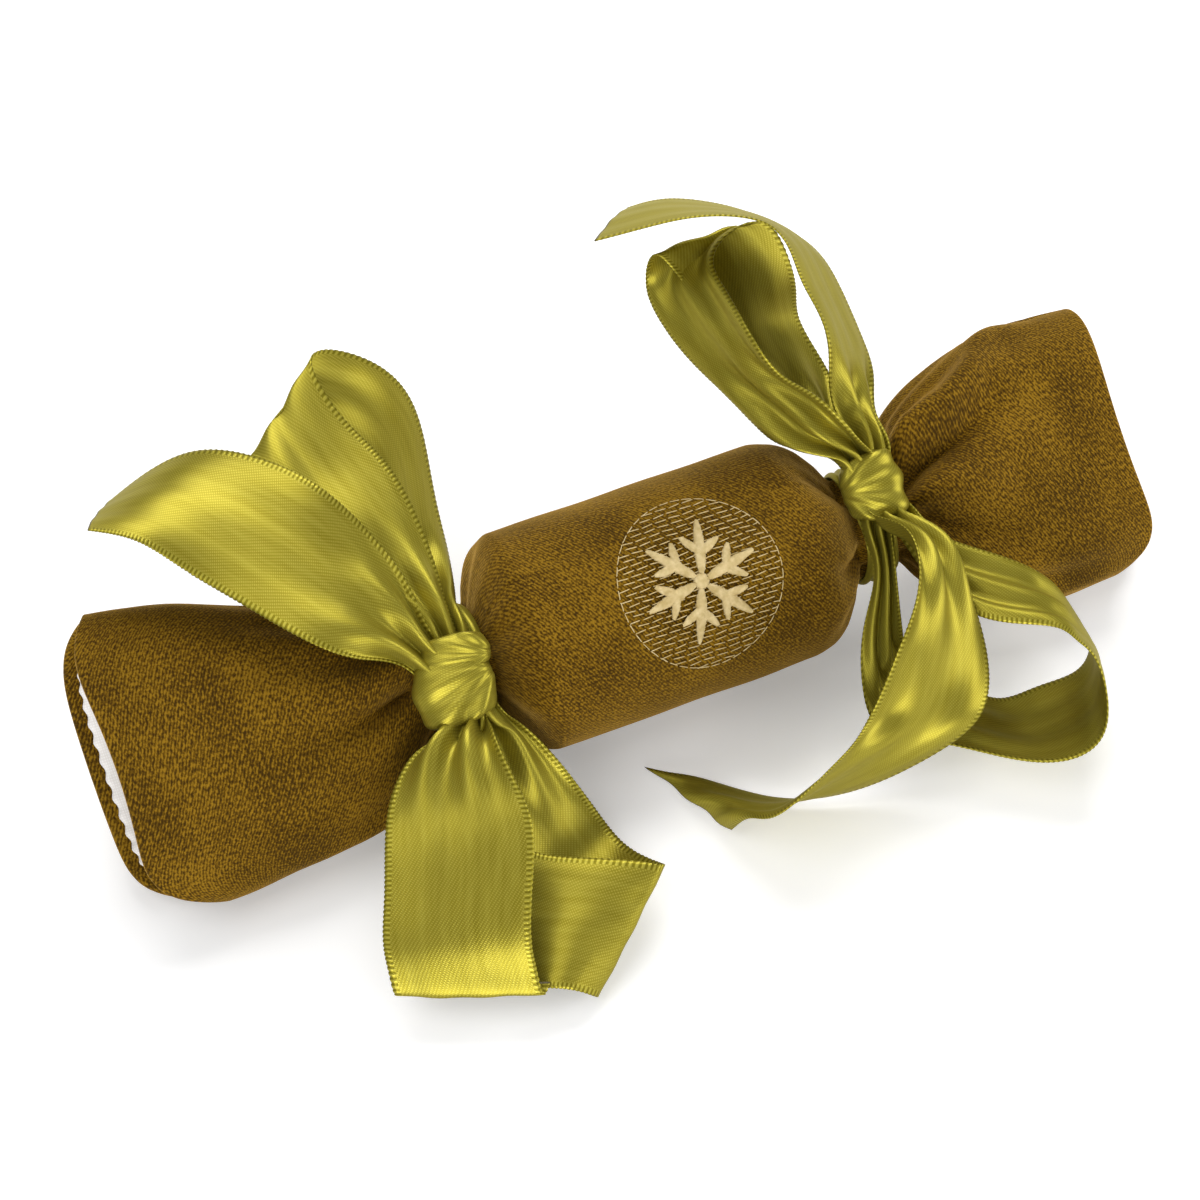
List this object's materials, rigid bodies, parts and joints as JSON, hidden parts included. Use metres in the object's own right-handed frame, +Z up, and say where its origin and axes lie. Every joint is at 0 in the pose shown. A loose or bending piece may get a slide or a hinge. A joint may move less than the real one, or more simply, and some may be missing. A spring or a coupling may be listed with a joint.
{
  "type": "christmas cracker",
  "caption": "Reusable velvet christmas cracker tied at both necks with satin bows, with an embroidered badge, a pull snap, a paper crown, a motto and a small gift inside.",
  "frame": {"origin": "on the table under the barrel's axis, 39.5 mm in from the left neck's middle", "axes": "+X along the barrel from the left end to the right end, +Z up from the table"},
  "size_m": [0.199, 0.1195, 0.0765],
  "materials": {
    "velvet": "short-pile velvet",
    "ribbon": "satin ribbon",
    "lining": "plain cotton",
    "thread": "satin stitch",
    "card": "uncoated card",
    "paper": "uncoated paper",
    "crown_paper": "tissue paper",
    "wood": "turned and waxed"
  },
  "bodies": {
    "barrel": {"velvet_barrel": "velvet", "lining_barrel": "lining", "card_tube": "card", "embroidery_field": "thread", "embroidery_motif": "thread", "left_ribbon_band": "ribbon", "right_ribbon_band": "ribbon", "left_knot": "ribbon", "right_knot": "ribbon", "left_upper_loop": "ribbon", "left_upper_tail": "ribbon", "left_lower_loop": "ribbon", "left_lower_tail": "ribbon", "right_upper_loop": "ribbon", "right_upper_tail": "ribbon", "right_lower_loop": "ribbon", "right_lower_tail": "ribbon", "snap_wrapper": "paper", "paper_crown": "crown_paper", "gift_top": "wood", "motto_roll": "paper"},
    "left_end": {"velvet_left_end": "velvet", "lining_left_end": "lining"},
    "right_end": {"velvet_right_end": "velvet", "lining_right_end": "lining"},
    "snap_left": {"snap_strip_left": "card"},
    "snap_right": {"snap_strip_right": "card"}
  },
  "joints": [
    {"name": "left_end_flex", "type": "hinge", "parent": "barrel", "child": "left_end", "pos_m": [-0.0395, 0, 0.02], "axis": [0, 0, 1], "range_deg": [-8, 8]},
    {"name": "right_end_flex", "type": "hinge", "parent": "barrel", "child": "right_end", "pos_m": [0.0415, 0, 0.02], "axis": [0, 0, 1], "range_deg": [-8, 8]},
    {"name": "snap_left_pull", "type": "slide", "parent": "barrel", "child": "snap_left", "axis": [-1, 0, 0], "range_m": [0, 0.06]},
    {"name": "snap_right_pull", "type": "slide", "parent": "barrel", "child": "snap_right", "axis": [1, 0, 0], "range_m": [0, 0.06]}
  ]
}
